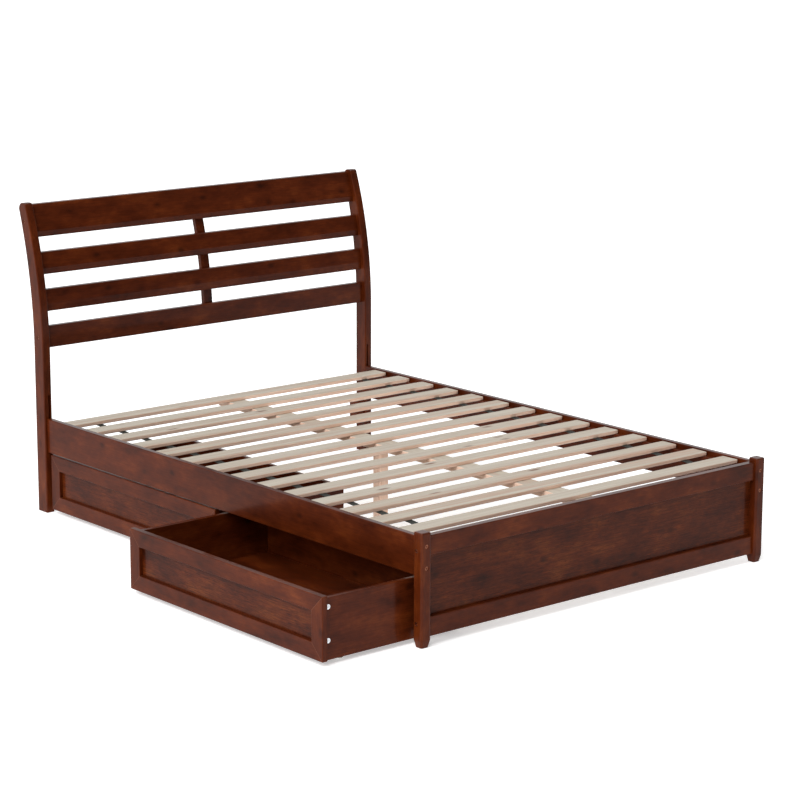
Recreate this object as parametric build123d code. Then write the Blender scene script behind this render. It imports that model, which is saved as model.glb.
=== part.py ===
from build123d import *
import math
import os

# Full-size platform bed with a slatted headboard and two rolling drawers under one long side.
# +X runs across the bed, with the drawers on the -X side. +Y runs from foot to head. +Z is up from the floor.
# The origin is on the floor under the centre leg. All sizes are in millimetres.

# ---------------------------------------------------------------- overall sizes
overall_width = 1430.0
overall_length = 2079.0
headboard_height = 1050.0
footboard_height = 340.0

# ---------------------------------------------------------------- headboard
head_post_thickness = 30.0
head_post_depth = 55.0
head_post_top_depth = 46.0
head_post_edge_radius = 4.0
head_post_front_top_radius = 9.0
head_post_back_top_radius = 20.0
sweep_start_height = 560.0
sweep_radius = 1400.0
headboard_rail_thickness = 22.0
headboard_rail_edge_radius = 3.0
top_rail_height = 108.0
top_rail_drop = 8.0
headboard_slat_height = 74.0
headboard_slat_count = 3
headboard_slat_plumb_faces = (35.0, 26.0, 21.0)
top_rail_plumb_face = 19.0
headboard_clear_height = 242.6
stile_width = 35.0
stile_thickness = 16.0
stile_tail = 10.0
stile_lap_on_top_rail = 50.0
stile_edge_radius = 2.0

# ---------------------------------------------------------------- footboard
foot_post_side = 38.0
foot_post_corner_radius = 8.0
foot_post_shoulder_radius = 5.0
foot_taper_height = 22.0
foot_tip_side = 27.0
footboard_setback = 11.0
footboard_rail_thickness = 24.0
footboard_rail_height = 58.0
footboard_rail_drop = 13.0
footboard_ground_gap = 28.5
footboard_rail_edge_radius = 2.5
footboard_panel_thickness = 6.0
footboard_panel_recess = 15.0
panel_groove_depth = 7.0
panel_edge_play = 1.0
panel_side_play = 0.2

# ---------------------------------------------------------------- side rails and deck
side_rail_setback = 10.0
side_rail_thickness = 20.0
side_rail_height = 117.0
side_rail_drop = 14.0
side_rail_edge_radius = 2.5
ledger_width = 22.0
ledger_height = 30.0
ledger_end_gap = 8.0
ledger_edge_radius = 1.5
last_slat_clearance = 10.0
slat_width = 63.5
slat_thickness = 12.5
slat_end_play = 5.0
slat_top_drop = 3.0
slat_pitch = 134.0
first_slat_inset = 94.5
slat_edge_radius = 2.5
slat_corner_radius = 4.0
webbing_width = 25.0
webbing_thickness = 1.2
webbing_slat_inset = 103.0
webbing_end_inset = 8.0
centre_board_width = 68.0
centre_board_thickness = 22.0
centre_board_head_gap = 61.5
centre_board_edge_radius = 1.5
centre_leg_side = 36.0
centre_leg_edge_radius = 3.0
corner_block_width = 36.0
corner_block_depth = 40.0
corner_block_height = 75.0
corner_block_drop = 4.0
corner_block_edge_radius = 2.0

# ---------------------------------------------------------------- frame hardware
bolt_shank_diameter = 6.0
bolt_hole_diameter = 6.4
bolt_head_diameter = 12.0
bolt_head_height = 4.0
bolt_counterbore_diameter = 12.6
bolt_counterbore_depth = 5.5
bolt_socket_size = 5.0
bolt_socket_depth = 2.5
bolt_reach = 36.0
side_rail_bolt_pitch = 64.0
bolt_crossing_gap = 14.5
footboard_bolt_inset = 16.0
hook_slot_width = 7.0
hook_slot_depth = 14.0
hook_slot_rise = 81.0
hook_slot_overlap = 6.0
hook_plate_thickness = 3.0
hook_plate_height = 92.0
hook_plate_in_rail = 30.0
hook_plate_in_post = 11.0
hook_plate_slot_play = 0.1

# ---------------------------------------------------------------- drawers
drawer_top_clearance = 4.5
drawer_ground_gap = 14.0
drawer_depth = 522.0
drawer_head_clearance = 14.5
drawer_foot_clearance = 13.7
drawer_middle_gap = 10.0
drawer_rail_setback = 1.0
open_distance = 327.0
front_thickness = 18.0
front_member_width = 50.0
front_edge_radius = 3.0
front_bead_radius = 1.5
front_panel_thickness = 6.0
front_panel_lap = 8.0
front_panel_play = 0.5
box_side_thickness = 15.0
box_top_drop = 8.5
box_end_inset = 9.0
box_edge_radius = 2.0
box_bottom_thickness = 6.0
box_groove_depth = 5.0
box_groove_play = 0.1
cam_diameter = 15.0
cam_depth = 12.0
cam_play = 0.1
cam_setback = 10.0
cam_upper_drop = 27.0
cam_lower_rise = 57.0
cam_slot_width = 2.0
cam_slot_length = 9.0
cam_slot_depth = 1.5

# ---------------------------------------------------------------- drawer wheels
wheel_diameter = 28.0
wheel_width = 10.0
wheel_edge_radius = 2.0
axle_diameter = 5.0
axle_radial_clearance = 0.05
wheel_top_play = 7.0
housing_wall = 3.0
housing_side_play = 0.5
housing_plate_thickness = 3.0
housing_plate_length = 46.0
housing_cheek_width = 18.0
housing_inset = 5.0
wheel_front_setback = 92.0
wheel_back_setback = 92.0

# ---------------------------------------------------------------- places worked out from the sizes
half_width = overall_width / 2
foot_face = -overall_length / 2
head_back = overall_length / 2
foot_post_centre_x = half_width - foot_post_side / 2
foot_post_centre_y = foot_face + foot_post_side / 2
foot_post_inner_x = half_width - foot_post_side
foot_post_inner_y = foot_face + foot_post_side
head_post_inner_x = half_width - head_post_thickness
side_rail_outer_x = half_width - side_rail_setback
side_rail_inner_x = side_rail_outer_x - side_rail_thickness
side_rail_centre_x = side_rail_outer_x - side_rail_thickness / 2
side_rail_top = footboard_height - side_rail_drop
side_rail_bottom = side_rail_top - side_rail_height
deck_top = side_rail_top - slat_top_drop
deck_underside = deck_top - slat_thickness


def arc_setback(radius, rise):
    """How far an arc of this radius, upright at its start, has leant back after this rise."""
    return radius - math.sqrt(radius**2 - rise**2)


sweep_rise = headboard_height - sweep_start_height
front_sweep = arc_setback(sweep_radius, sweep_rise)
back_sweep = front_sweep + head_post_top_depth - head_post_depth
back_sweep_radius = (sweep_rise**2 + back_sweep**2) / (2 * back_sweep)
back_lean = math.asin(sweep_rise / back_sweep_radius)
top_back_loss = head_post_back_top_radius * (math.tan(back_lean) + 1 / math.cos(back_lean) - 1)
head_post_front = head_back - head_post_depth - back_sweep + top_back_loss
sweep_centre_y = head_post_front + sweep_radius
rail_recess = (head_post_depth - headboard_rail_thickness) / 2
lowest_slat_base = deck_top + headboard_clear_height
footboard_front = foot_face + footboard_setback
footboard_back = footboard_front + footboard_rail_thickness
footboard_top = footboard_height - footboard_rail_drop
panel_top = footboard_top - footboard_rail_height
panel_base = footboard_ground_gap + footboard_rail_height
panel_front = footboard_front + footboard_panel_recess
slat_half_length = side_rail_inner_x - slat_end_play
first_slat_y = head_post_front - first_slat_inset
slat_run = first_slat_y - footboard_back - slat_width / 2 - last_slat_clearance
slat_count = 1 + int(slat_run // slat_pitch)
webbing_offset = slat_half_length - webbing_slat_inset
corner_block_base = side_rail_bottom - corner_block_drop - corner_block_height
drawer_front_x = -side_rail_outer_x + drawer_rail_setback
drawer_top_height = side_rail_bottom - drawer_top_clearance
drawer_end_gaps = drawer_head_clearance + drawer_middle_gap + drawer_foot_clearance
drawer_front_width = (head_post_front - foot_post_inner_y - drawer_end_gaps) / 2


# ---------------------------------------------------------------- helpers
def bar(x, y, z):
    """A box between the two limits given along each axis."""
    size = [abs(limits[1] - limits[0]) for limits in (x, y, z)]
    middle = [(limits[0] + limits[1]) / 2 for limits in (x, y, z)]
    return Pos(*middle) * Box(*size)


def rounded_bar(x, y, z, radius, along):
    """A box with the edges that run along one axis rounded."""
    block = bar(x, y, z)
    return fillet(block.edges().filter_by(along), radius)


def rod(start, direction, diameter, length):
    """A round rod from a start point along a direction."""
    plane = Plane(origin=start, z_dir=direction)
    return extrude(plane * Circle(diameter / 2), length)


def save(name, *solids):
    """Write one node, which may hold several separate solids."""
    shape = solids[0] if len(solids) == 1 else Compound(children=list(solids))
    shape.label = name
    export_step(shape, f"parts/{name}.step")


def mirrored(shape):
    """The same shape on the other side of the bed."""
    return mirror(shape, about=Plane.YZ)


# ---------------------------------------------------------------- bolts
def bolt(start, direction, post_depth):
    """A socket-head connector bolt sunk into a post and reaching into the rail behind it."""
    inward = Vector(*direction).normalized()
    seat = Vector(*start) + inward * (bolt_counterbore_depth - bolt_head_height)
    head = rod(seat, inward, bolt_head_diameter, bolt_head_height)
    shank_length = post_depth - bolt_counterbore_depth + bolt_reach
    shank = rod(seat + inward * bolt_head_height, inward, bolt_shank_diameter, shank_length)
    socket_outline = RegularPolygon(bolt_socket_size / 2, 6, major_radius=False)
    socket_face = Plane(origin=seat, z_dir=inward) * socket_outline
    return head + shank - extrude(socket_face, bolt_socket_depth)


def bolt_hole(start, direction, post_depth):
    """The bore that a bolt needs through its post and into the rail behind it."""
    inward = Vector(*direction).normalized()
    origin = Vector(*start)
    bore = rod(origin, inward, bolt_hole_diameter, post_depth + bolt_reach + 1)
    return bore + rod(origin, inward, bolt_counterbore_diameter, bolt_counterbore_depth)


def sweep_line(recess, height):
    """Y of a line that lies a given depth behind the head posts' front faces."""
    rise = max(0.0, height - sweep_start_height)
    return sweep_centre_y - math.sqrt((sweep_radius - recess) ** 2 - rise**2)


rail_middle_recess = rail_recess + headboard_rail_thickness / 2
top_rail_top = headboard_height - top_rail_drop
top_rail_base = top_rail_top - top_rail_height
slat_step = (top_rail_base - lowest_slat_base) / headboard_slat_count
headboard_slat_bases = [lowest_slat_base + number * slat_step for number in range(headboard_slat_count)]
lowest_slat_middle = lowest_slat_base + headboard_slat_height / 2
top_rail_middle = top_rail_base + top_rail_height / 2

head_bolt_heights = (lowest_slat_middle, top_rail_middle)
side_rail_middle = (side_rail_top + side_rail_bottom) / 2
footboard_bolt_heights = (panel_base - footboard_bolt_inset, panel_top + footboard_bolt_inset)
upper_foot_rail_bolt = footboard_bolt_heights[1] + bolt_crossing_gap
foot_rail_bolt_heights = (upper_foot_rail_bolt - side_rail_bolt_pitch, upper_foot_rail_bolt)
footboard_middle_y = (footboard_front + footboard_back) / 2


def left_bolt_places():
    """Start point, direction and post depth of each bolt on the drawer side of the bed."""
    places = []
    for height in head_bolt_heights:
        start = (-half_width, sweep_line(rail_middle_recess, height), height)
        places.append((start, (1, 0, 0), head_post_thickness))
    for height in footboard_bolt_heights:
        places.append(((-half_width, footboard_middle_y, height), (1, 0, 0), foot_post_side))
    for height in foot_rail_bolt_heights:
        places.append(((-side_rail_centre_x, foot_face, height), (0, 1, 0), foot_post_side))
    return places


left_bolt_holes = [bolt_hole(*place) for place in left_bolt_places()]


def bored(shape):
    """A piece from the drawer side with every bolt bore that reaches it cut away."""
    for hole in left_bolt_holes:
        shape = shape - hole
    return shape


def bored_both_sides(shape):
    """A piece that spans the bed with the bolt bores of both sides cut away."""
    return mirrored(bored(mirrored(bored(shape))))


# ---------------------------------------------------------------- headboard
def head_post():
    """The drawer-side head post: upright below, swept back above, with rounded edges."""
    back = head_post_front + head_post_depth
    front_top = (head_post_front + front_sweep, headboard_height)
    back_top = (back + back_sweep, headboard_height)
    half_rise = sweep_rise / 2
    front_middle = (
        head_post_front + arc_setback(sweep_radius, half_rise),
        sweep_start_height + half_rise,
    )
    back_middle = (
        back + arc_setback(back_sweep_radius, half_rise),
        sweep_start_height + half_rise,
    )
    outline = [
        Line((head_post_front, 0), (head_post_front, sweep_start_height)),
        ThreePointArc((head_post_front, sweep_start_height), front_middle, front_top),
        Line(front_top, back_top),
        ThreePointArc(back_top, back_middle, (back, sweep_start_height)),
        Line((back, sweep_start_height), (back, 0)),
        Line((back, 0), (head_post_front, 0)),
    ]
    face = make_face(outline)
    tops = face.vertices().group_by(Axis.Y)[-1].sort_by(Axis.X)
    face = fillet(tops[0], head_post_front_top_radius)
    tops = face.vertices().filter_by(lambda v: abs(v.Y - headboard_height) < 0.01).sort_by(Axis.X)
    face = fillet(tops[-1], head_post_back_top_radius)
    post = extrude(Plane.YZ.offset(-half_width) * face, head_post_thickness)
    sides = post.faces().filter_by(Axis.X)
    edges = [edge for side in sides for edge in side.edges() if edge.center().Z > 1]
    post = fillet(edges, head_post_edge_radius)
    slot = bar(
        (-side_rail_centre_x - hook_slot_width / 2, -side_rail_centre_x + hook_slot_width / 2),
        (head_post_front - 1, head_post_front + hook_slot_depth),
        (side_rail_bottom + hook_slot_overlap, side_rail_top + hook_slot_rise),
    )
    return bored(post - slot)


def swept_board(recess, thickness, base, top, half_length, edge_radius, plumb_face=0.0):
    """A board across the bed that follows the posts' sweep; its front may be planed plumb near its base."""
    centre = Pos(sweep_centre_y, sweep_start_height)
    ring = centre * Circle(sweep_radius - recess) - centre * Circle(sweep_radius - recess - thickness)
    band_depth = head_post_depth + front_sweep + back_sweep
    band = Pos(head_post_front + band_depth / 2, (base + top) / 2) * Rectangle(band_depth, top - base)
    section = ring & band
    if plumb_face > 0:
        plumb_front = sweep_line(recess, base + plumb_face)
        middle = Pos(plumb_front + band_depth / 2, (base + top) / 2)
        section = section & middle * Rectangle(band_depth, top - base)
    board = extrude(Plane.YZ.offset(-half_length) * section, 2 * half_length)
    end_edges = board.edges().filter_by(Axis.X)
    top_and_base = [edge for edge in end_edges if min(edge.center().Z - base, top - edge.center().Z) < 0.01]
    return fillet(top_and_base, edge_radius)


def headboard_rail(base, height, plumb_face):
    """One rail of the headboard, in line with the middle of the posts."""
    board = swept_board(
        rail_recess,
        headboard_rail_thickness,
        base,
        base + height,
        head_post_inner_x,
        headboard_rail_edge_radius,
        plumb_face,
    )
    return bored_both_sides(board)


def centre_stile():
    """The thin upright that ties the rails together behind their middles."""
    return swept_board(
        rail_recess + headboard_rail_thickness,
        stile_thickness,
        lowest_slat_base + stile_tail,
        top_rail_base + stile_lap_on_top_rail,
        stile_width / 2,
        stile_edge_radius,
    )


# ---------------------------------------------------------------- footboard
def foot_post():
    """The drawer-side foot post: rounded square, soft shoulder on top, tapered tip on the floor."""
    upper = extrude(
        Plane.XY.offset(foot_taper_height) * RectangleRounded(foot_post_side, foot_post_side, foot_post_corner_radius),
        footboard_height - foot_taper_height,
    )
    upper = fillet(upper.edges().group_by(Axis.Z)[-1], foot_post_shoulder_radius)
    tip_radius = foot_post_corner_radius * foot_tip_side / foot_post_side
    tip = loft(
        [
            Plane.XY * RectangleRounded(foot_tip_side, foot_tip_side, tip_radius),
            Plane.XY.offset(foot_taper_height)
            * RectangleRounded(foot_post_side, foot_post_side, foot_post_corner_radius),
        ]
    )
    post = Pos(-foot_post_centre_x, foot_post_centre_y, 0) * (upper + tip)
    groove = bar(
        (-foot_post_inner_x - panel_groove_depth, -foot_post_inner_x + 1),
        (panel_front, panel_front + footboard_panel_thickness + panel_side_play),
        (panel_base - panel_groove_depth, panel_top + panel_groove_depth),
    )
    return bored(post - groove)


def footboard_rail(base):
    """A rail between the foot posts, grooved where the panel enters it."""
    rail = rounded_bar(
        (-foot_post_inner_x, foot_post_inner_x),
        (footboard_front, footboard_back),
        (base, base + footboard_rail_height),
        footboard_rail_edge_radius,
        Axis.X,
    )
    return bored_both_sides(rail - footboard_panel_space())


def footboard_panel_space():
    """The grooved space that the footboard panel sits in."""
    reach = foot_post_inner_x + panel_groove_depth
    return bar(
        (-reach, reach),
        (panel_front, panel_front + footboard_panel_thickness + panel_side_play),
        (panel_base - panel_groove_depth, panel_top + panel_groove_depth),
    )


def footboard_panel():
    """The thin veneered panel inside the footboard."""
    lap = panel_groove_depth - panel_edge_play
    reach = foot_post_inner_x + lap
    return bar(
        (-reach, reach),
        (panel_front, panel_front + footboard_panel_thickness),
        (panel_base - lap, panel_top + lap),
    )


# ---------------------------------------------------------------- side rails and deck
def side_rail():
    """The drawer-side rail, slotted at its head end for the hook plate."""
    rail = rounded_bar(
        (-side_rail_outer_x, -side_rail_inner_x),
        (foot_post_inner_y, head_post_front),
        (side_rail_bottom, side_rail_top),
        side_rail_edge_radius,
        Axis.Y,
    )
    return bored(rail - hook_plate(hook_plate_slot_play, hook_plate_in_rail))


def hook_plate(play=0.0, in_rail=hook_plate_in_rail):
    """The steel plate that joins a side rail to its head post."""
    half = hook_plate_thickness / 2 + play
    half_height = hook_plate_height / 2 + play
    return bar(
        (-side_rail_centre_x - half, -side_rail_centre_x + half),
        (head_post_front - in_rail - play, head_post_front + hook_plate_in_post),
        (side_rail_middle - half_height, side_rail_middle + half_height),
    )


def ledger():
    """The strip inside the drawer-side rail that carries the slats."""
    return rounded_bar(
        (-side_rail_inner_x, -side_rail_inner_x + ledger_width),
        (foot_post_inner_y + ledger_end_gap, head_post_front - ledger_end_gap),
        (deck_underside - ledger_height, deck_underside),
        ledger_edge_radius,
        Axis.Y,
    )


def deck_slat(number):
    """One bed slat; number counts from the head."""
    middle = first_slat_y - number * slat_pitch
    slat = bar(
        (-slat_half_length, slat_half_length),
        (middle - slat_width / 2, middle + slat_width / 2),
        (deck_underside, deck_top),
    )
    slat = fillet(slat.edges().filter_by(Axis.Z), slat_corner_radius)
    long_edges = slat.faces().sort_by(Axis.Z)[-1].edges() + slat.faces().sort_by(Axis.Z)[0].edges()
    return fillet(long_edges, slat_edge_radius)


def webbing():
    """One strap that spaces the slats, stapled under them near their ends."""
    last_slat_y = first_slat_y - (slat_count - 1) * slat_pitch
    return bar(
        (-webbing_offset - webbing_width / 2, -webbing_offset + webbing_width / 2),
        (
            last_slat_y - slat_width / 2 + webbing_end_inset,
            first_slat_y + slat_width / 2 - webbing_end_inset,
        ),
        (deck_underside - webbing_thickness, deck_underside),
    )


def centre_board():
    """The lengthwise board under the middle of the slats."""
    return rounded_bar(
        (-centre_board_width / 2, centre_board_width / 2),
        (footboard_back, head_post_front - centre_board_head_gap),
        (deck_underside - centre_board_thickness, deck_underside),
        centre_board_edge_radius,
        Axis.Y,
    )


def centre_leg():
    """The square leg between the floor and the middle of the centre board."""
    half = centre_leg_side / 2
    return rounded_bar(
        (-half, half),
        (-half, half),
        (0, deck_underside - centre_board_thickness),
        centre_leg_edge_radius,
        Axis.Z,
    )


def corner_block():
    """The wood block on the inner face of the drawer-side head post."""
    middle = head_post_front + head_post_depth / 2
    return rounded_bar(
        (-head_post_inner_x, -head_post_inner_x + corner_block_width),
        (middle - corner_block_depth / 2, middle + corner_block_depth / 2),
        (corner_block_base, corner_block_base + corner_block_height),
        corner_block_edge_radius,
        Axis.X,
    )


# ---------------------------------------------------------------- drawers
class Drawer:
    """One drawer, built from the outer face of its front and the head end of that front."""

    def __init__(self, name, front_x, head_y):
        self.name = name
        self.front_x = front_x
        self.head_y = head_y
        self.foot_y = head_y - drawer_front_width
        self.back_of_front = front_x + front_thickness
        self.back_x = front_x + drawer_depth
        self.box_top = drawer_top_height - box_top_drop
        self.side_outer = {"head": self.head_y - box_end_inset, "foot": self.foot_y + box_end_inset}
        self.bottom_base = wheel_diameter + wheel_top_play + housing_plate_thickness

    def side_limits(self, end):
        """Outer and inner Y of one box side."""
        inward = -1 if end == "head" else 1
        outer = self.side_outer[end]
        return outer, outer + inward * box_side_thickness

    def front_members(self):
        """The four mitred members around the front panel."""
        outer = rounded_bar(
            (self.front_x, self.back_of_front),
            (self.foot_y, self.head_y),
            (drawer_ground_gap, drawer_top_height),
            front_edge_radius,
            Axis.X,
        )
        face_edges = outer.faces().sort_by(Axis.X)[0].edges()
        outer = fillet(face_edges, front_edge_radius)
        opening = bar(
            (self.front_x - 1, self.back_of_front + 1),
            (self.foot_y + front_member_width, self.head_y - front_member_width),
            (drawer_ground_gap + front_member_width, drawer_top_height - front_member_width),
        )
        frame = outer - opening
        inner_edges = (
            frame.faces().sort_by(Axis.X)[0].inner_wires()[0].edges()
        )
        frame = fillet(inner_edges, front_bead_radius)
        frame = frame - self.panel_space()
        return [frame & wedge for wedge in self.mitre_wedges()]

    def mitre_wedges(self):
        """Prisms that part the front's frame at its four mitres."""
        middle_z = (drawer_ground_gap + drawer_top_height) / 2
        half_height = (drawer_top_height - drawer_ground_gap) / 2
        head_tip = self.head_y - half_height
        foot_tip = self.foot_y + half_height
        low, high = drawer_ground_gap, drawer_top_height
        outlines = [
            [(self.foot_y, high), (self.head_y, high), (head_tip, middle_z), (foot_tip, middle_z)],
            [(self.foot_y, low), (self.head_y, low), (head_tip, middle_z), (foot_tip, middle_z)],
            [(self.head_y, low), (self.head_y, high), (head_tip, middle_z)],
            [(self.foot_y, low), (self.foot_y, high), (foot_tip, middle_z)],
        ]
        plane = Plane.YZ.offset(self.front_x)
        return [extrude(plane * make_face(Polyline(*outline, close=True)), front_thickness) for outline in outlines]

    def panel_space(self):
        """The rebate behind the front's frame that takes the panel."""
        return bar(
            (self.back_of_front - front_panel_thickness, self.back_of_front + 1),
            (
                self.foot_y + front_member_width - front_panel_lap,
                self.head_y - front_member_width + front_panel_lap,
            ),
            (
                drawer_ground_gap + front_member_width - front_panel_lap,
                drawer_top_height - front_member_width + front_panel_lap,
            ),
        )

    def front_panel(self):
        """The veneered panel in the front."""
        lap = front_panel_lap - front_panel_play
        return bar(
            (self.back_of_front - front_panel_thickness, self.back_of_front),
            (self.foot_y + front_member_width - lap, self.head_y - front_member_width + lap),
            (drawer_ground_gap + front_member_width - lap, drawer_top_height - front_member_width + lap),
        )

    def cam_places(self, end):
        """Centres of the cam locks on the outer face of one box side."""
        outer = self.side_outer[end]
        heights = (self.box_top - cam_upper_drop, drawer_ground_gap + cam_lower_rise)
        return [(self.back_of_front + cam_setback, outer, height) for height in heights]

    def cam_lock(self, place, inward):
        """One cam lock disc with its screwdriver slot."""
        disc = rod(place, inward, cam_diameter, cam_depth)
        slot = Pos(place[0], place[1], place[2]) * Box(cam_slot_length, 2 * cam_slot_depth, cam_slot_width)
        return disc - slot

    def side(self, end):
        """One box side, bored for its cam locks and grooved for the bottom."""
        outer, inner = self.side_limits(end)
        side = rounded_bar(
            (self.back_of_front, self.back_x),
            (outer, inner),
            (drawer_ground_gap, self.box_top),
            box_edge_radius,
            Axis.X,
        )
        inward = (0, 1 if inner > outer else -1, 0)
        for place in self.cam_places(end):
            side = side - rod(place, inward, cam_diameter + 2 * cam_play, cam_depth + cam_play)
        return side - self.bottom(box_groove_play)

    def back(self):
        """The box back between the sides."""
        back = rounded_bar(
            (self.back_x - box_side_thickness, self.back_x),
            (self.side_limits("foot")[1], self.side_limits("head")[1]),
            (drawer_ground_gap, self.box_top),
            box_edge_radius,
            Axis.Y,
        )
        return back - self.bottom(box_groove_play)

    def bottom(self, play=0.0):
        """The bottom panel, or with play the groove that holds it."""
        return bar(
            (self.back_of_front, self.back_x - box_side_thickness + box_groove_depth + play),
            (
                self.side_limits("foot")[1] - box_groove_depth - play,
                self.side_limits("head")[1] + box_groove_depth + play,
            ),
            (self.bottom_base - play, self.bottom_base + box_bottom_thickness + play),
        )

    def wheel_centres(self):
        """Name and centre of each wheel."""
        half_housing = wheel_width / 2 + housing_side_play + housing_wall
        foot_y = self.side_limits("foot")[1] + housing_inset + half_housing
        head_y = self.side_limits("head")[1] - housing_inset - half_housing
        front_x = self.front_x + wheel_front_setback
        back_x = self.back_x - wheel_back_setback
        return {
            "front_head": (front_x, head_y, wheel_diameter / 2),
            "front_foot": (front_x, foot_y, wheel_diameter / 2),
            "back_head": (back_x, head_y, wheel_diameter / 2),
            "back_foot": (back_x, foot_y, wheel_diameter / 2),
        }

    def wheel(self, centre):
        """One wheel with its axle bore."""
        disc = Cylinder(wheel_diameter / 2, wheel_width)
        disc = fillet(disc.edges(), wheel_edge_radius)
        bore = Cylinder(axle_diameter / 2 + axle_radial_clearance, wheel_width + 1)
        return Pos(*centre) * (Rot(90, 0, 0) * (disc - bore))

    def wheel_housing(self, centre):
        """The fork and axle that hold one wheel under the drawer's bottom."""
        x, y, z = centre
        inner_half = wheel_width / 2 + housing_side_play
        outer_half = inner_half + housing_wall
        plate = bar(
            (x - housing_plate_length / 2, x + housing_plate_length / 2),
            (y - outer_half, y + outer_half),
            (self.bottom_base - housing_plate_thickness, self.bottom_base),
        )
        cheek_base = z - housing_cheek_width / 2
        cheeks = bar(
            (x - housing_cheek_width / 2, x + housing_cheek_width / 2),
            (y - outer_half, y + outer_half),
            (cheek_base, self.bottom_base - housing_plate_thickness / 2),
        )
        cheeks = fillet(cheeks.edges().filter_by(Axis.Y).group_by(Axis.Z)[0], housing_cheek_width / 2 - 1)
        gap = bar(
            (x - housing_plate_length, x + housing_plate_length),
            (y - inner_half, y + inner_half),
            (cheek_base - 1, self.bottom_base - housing_plate_thickness),
        )
        axle = rod((x, y - outer_half, z), (0, 1, 0), axle_diameter, 2 * outer_half)
        return plate + (cheeks - gap) + axle

    def save(self):
        """Write every node of this drawer."""
        save(f"{self.name}_front_frame", *self.front_members())
        save(f"{self.name}_front_panel", self.front_panel())
        save(f"{self.name}_side_head", self.side("head"))
        save(f"{self.name}_side_foot", self.side("foot"))
        save(f"{self.name}_back", self.back())
        save(f"{self.name}_bottom", self.bottom())
        cams = [self.cam_lock(place, (0, -1, 0)) for place in self.cam_places("head")]
        cams += [self.cam_lock(place, (0, 1, 0)) for place in self.cam_places("foot")]
        save(f"{self.name}_cam_locks", *cams)
        centres = self.wheel_centres()
        save(f"{self.name}_wheel_housings", *[self.wheel_housing(centre) for centre in centres.values()])
        for place, centre in centres.items():
            save(f"{self.name}_wheel_{place}", self.wheel(centre))


# ---------------------------------------------------------------- write every node
os.makedirs("parts", exist_ok=True)

left_head_post = head_post()
save("head_post_left", left_head_post)
save("head_post_right", mirrored(left_head_post))
save("headboard_top_rail", headboard_rail(top_rail_base, top_rail_height, top_rail_plumb_face))
slat_plan = zip(("lower", "middle", "upper"), headboard_slat_bases, headboard_slat_plumb_faces)
for label, slat_base, plumb_face in slat_plan:
    save(f"headboard_slat_{label}", headboard_rail(slat_base, headboard_slat_height, plumb_face))
save("headboard_centre_stile", centre_stile())

left_foot_post = foot_post()
save("foot_post_left", left_foot_post)
save("foot_post_right", mirrored(left_foot_post))
save("footboard_top_rail", footboard_rail(panel_top))
save("footboard_bottom_rail", footboard_rail(footboard_ground_gap))
save("footboard_panel", footboard_panel())

left_side_rail = side_rail()
save("side_rail_left", left_side_rail)
save("side_rail_right", mirrored(left_side_rail))
save("slat_ledger_left", ledger())
save("slat_ledger_right", mirrored(ledger()))
for number in range(slat_count):
    save(f"slat_{number + 1:02d}", deck_slat(number))
save("slat_webbing", webbing(), mirrored(webbing()))
save("centre_board", centre_board())
save("centre_leg", centre_leg())
save("corner_blocks", corner_block(), mirrored(corner_block()))

left_bolts = [bolt(*place) for place in left_bolt_places()]
save("frame_bolts", *left_bolts, *[mirrored(piece) for piece in left_bolts])
save("rail_hook_plates", hook_plate(), mirrored(hook_plate()))

head_drawer_y = head_post_front - drawer_head_clearance
foot_drawer_y = head_drawer_y - drawer_front_width - drawer_middle_gap
Drawer("head_drawer", drawer_front_x, head_drawer_y).save()
Drawer("foot_drawer", drawer_front_x - open_distance, foot_drawer_y).save()
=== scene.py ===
import logging
import math
from dataclasses import dataclass
from enum import Enum
from typing import Callable, Sequence

import bpy
from mathutils import Matrix, Vector


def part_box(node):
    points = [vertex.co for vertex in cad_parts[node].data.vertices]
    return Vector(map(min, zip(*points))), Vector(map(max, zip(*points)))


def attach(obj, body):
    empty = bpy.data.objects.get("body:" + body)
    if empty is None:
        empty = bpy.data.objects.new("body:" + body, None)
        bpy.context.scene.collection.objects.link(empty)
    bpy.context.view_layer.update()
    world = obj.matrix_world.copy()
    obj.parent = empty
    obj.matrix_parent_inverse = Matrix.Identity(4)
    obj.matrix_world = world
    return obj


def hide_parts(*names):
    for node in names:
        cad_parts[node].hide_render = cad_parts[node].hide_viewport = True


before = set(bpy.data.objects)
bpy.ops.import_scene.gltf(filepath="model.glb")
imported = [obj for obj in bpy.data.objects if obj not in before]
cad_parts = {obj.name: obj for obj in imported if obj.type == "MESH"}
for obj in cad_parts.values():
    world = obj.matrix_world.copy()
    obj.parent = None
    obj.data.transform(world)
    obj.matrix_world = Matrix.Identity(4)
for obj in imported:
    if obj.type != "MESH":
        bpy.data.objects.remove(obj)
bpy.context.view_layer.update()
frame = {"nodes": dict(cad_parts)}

# A full-size platform bed in walnut-stained wood, with a slatted deck and two rolling drawers.
# The frame gives every rigid piece its shape and place, in metres, +Z up, drawers towards -X.
# This script gives those pieces their finishes and adds the webbing and its staples.

log = logging.getLogger("bed")
MM = 0.001
FACING = 0.9  # a face whose normal has more than this along an axis faces that way
WHITE = "#ffffff"

Tree = bpy.types.NodeTree
Socket = bpy.types.NodeSocket
Triple = tuple[float, float, float]
Pair = tuple[float, float]


class Grain(Enum):
    """The way the wood fibres of a piece run."""

    ACROSS = "X"
    ALONG = "Y"
    UP = "Z"
    MITRED = "mitred"


# ---------------------------------------------------------------- small helpers


def linear(colour: str) -> tuple[float, float, float, float]:
    """Turn an sRGB hex colour into linear red, green, blue and alpha.

    Args:
        colour: six hex digits, with or without a leading hash.

    Returns:
        The four linear channels, alpha being 1.
    """
    digits = colour.lstrip("#")
    channels = [int(digits[start:start + 2], 16) / 255 for start in (0, 2, 4)]
    red, green, blue = (c / 12.92 if c <= 0.04045 else ((c + 0.055) / 1.055) ** 2.4 for c in channels)
    return red, green, blue, 1.0


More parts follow.
